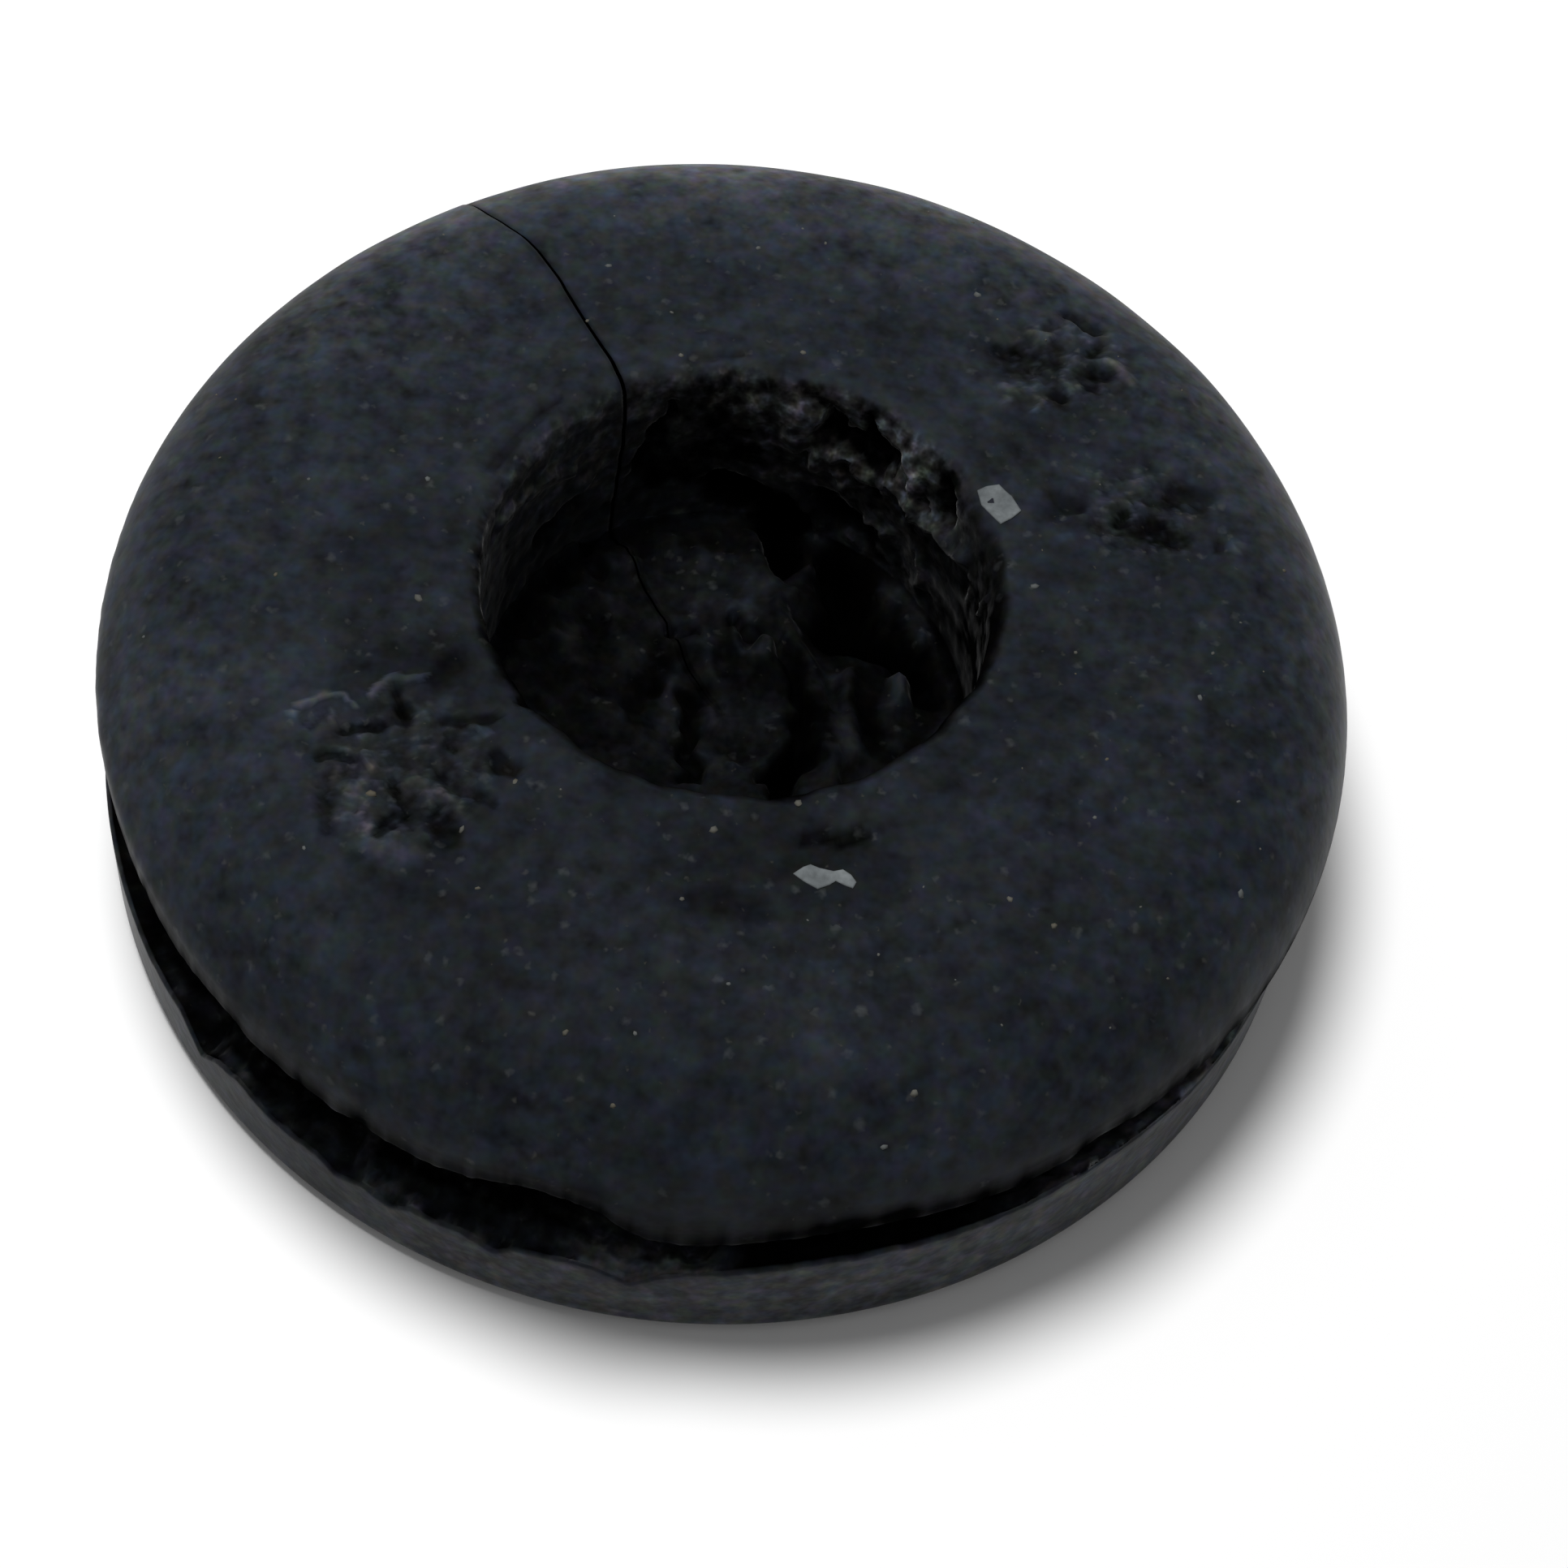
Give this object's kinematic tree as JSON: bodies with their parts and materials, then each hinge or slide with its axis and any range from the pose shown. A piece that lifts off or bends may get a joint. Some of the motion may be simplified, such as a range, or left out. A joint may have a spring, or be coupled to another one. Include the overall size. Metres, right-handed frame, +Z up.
{
  "type": "rubber grommet",
  "caption": "Round rubber grommet: an upper and a lower flange with a panel groove between them, a hole closed at its foot by a torn web, and a radial split.",
  "frame": {"origin": "on the grommet's axis, at the foot of the lower flange", "axes": "+Z up along the hole's axis, out of its mouth; the split leaves the axis at 124 degrees from +X towards +Y"},
  "size_m": [0.02, 0.02, 0.0059],
  "materials": {
    "rubber": "aged matt black rubber with a grey-blue bloom, dust and scuffs"
  },
  "bodies": {
    "root": {"grommet": "rubber"}
  },
  "joints": []
}
